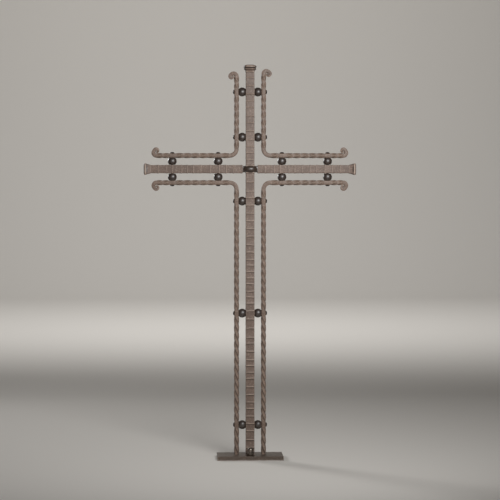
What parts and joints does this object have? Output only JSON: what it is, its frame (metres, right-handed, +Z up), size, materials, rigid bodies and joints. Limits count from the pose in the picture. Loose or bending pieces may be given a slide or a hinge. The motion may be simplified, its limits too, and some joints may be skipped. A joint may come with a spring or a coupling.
{
  "type": "wrought iron cross",
  "caption": "Standing forged iron cross: upright through a punched crossbar, framed by twisted scroll-ended bars on balls and rivets, on a foot plate.",
  "frame": {"origin": "underside of the foot plate, at the centre of the object's outline, below the upright's axis", "axes": "+Z up along the upright, +X along the crossbar to the viewer's right, front towards -Y"},
  "size_m": [0.59, 0.09, 1.096],
  "materials": {
    "hammered_iron": "hand-hammered wrought iron, waxed dark grey-brown, satin",
    "twisted_iron": "twisted wrought iron bar, waxed dark grey-brown, satin",
    "ball_iron": "forged iron ball, burnished blue-black, semi-gloss",
    "rivet_iron": "hand-closed iron rivet, blue-black, semi-gloss",
    "plate_iron": "hot-rolled iron plate with hammered edges, waxed, satin",
    "nut_iron": "blackened iron cap nut, semi-gloss"
  },
  "bodies": {
    "root": {"upright": "hammered_iron", "crossbar": "hammered_iron", "corner_bar_upper_left": "twisted_iron", "corner_bar_upper_right": "twisted_iron", "corner_bar_lower_left": "twisted_iron", "corner_bar_lower_right": "twisted_iron", "ball_top_left": "ball_iron", "ball_top_right": "ball_iron", "ball_upper_left": "ball_iron", "ball_upper_right": "ball_iron", "ball_lower_left": "ball_iron", "ball_lower_right": "ball_iron", "ball_middle_left": "ball_iron", "ball_middle_right": "ball_iron", "ball_bottom_left": "ball_iron", "ball_bottom_right": "ball_iron", "ball_arm_left_outer_over": "ball_iron", "ball_arm_left_outer_under": "ball_iron", "ball_arm_left_inner_over": "ball_iron", "ball_arm_left_inner_under": "ball_iron", "ball_arm_right_outer_over": "ball_iron", "ball_arm_right_outer_under": "ball_iron", "ball_arm_right_inner_over": "ball_iron", "ball_arm_right_inner_under": "ball_iron", "rivet_top": "rivet_iron", "rivet_upper": "rivet_iron", "rivet_lower": "rivet_iron", "rivet_middle": "rivet_iron", "rivet_bottom": "rivet_iron", "rivet_arm_left_outer": "rivet_iron", "rivet_arm_left_inner": "rivet_iron", "rivet_arm_right_outer": "rivet_iron", "rivet_arm_right_inner": "rivet_iron", "foot_plate": "plate_iron", "cap_nut": "nut_iron"}
  },
  "joints": []
}
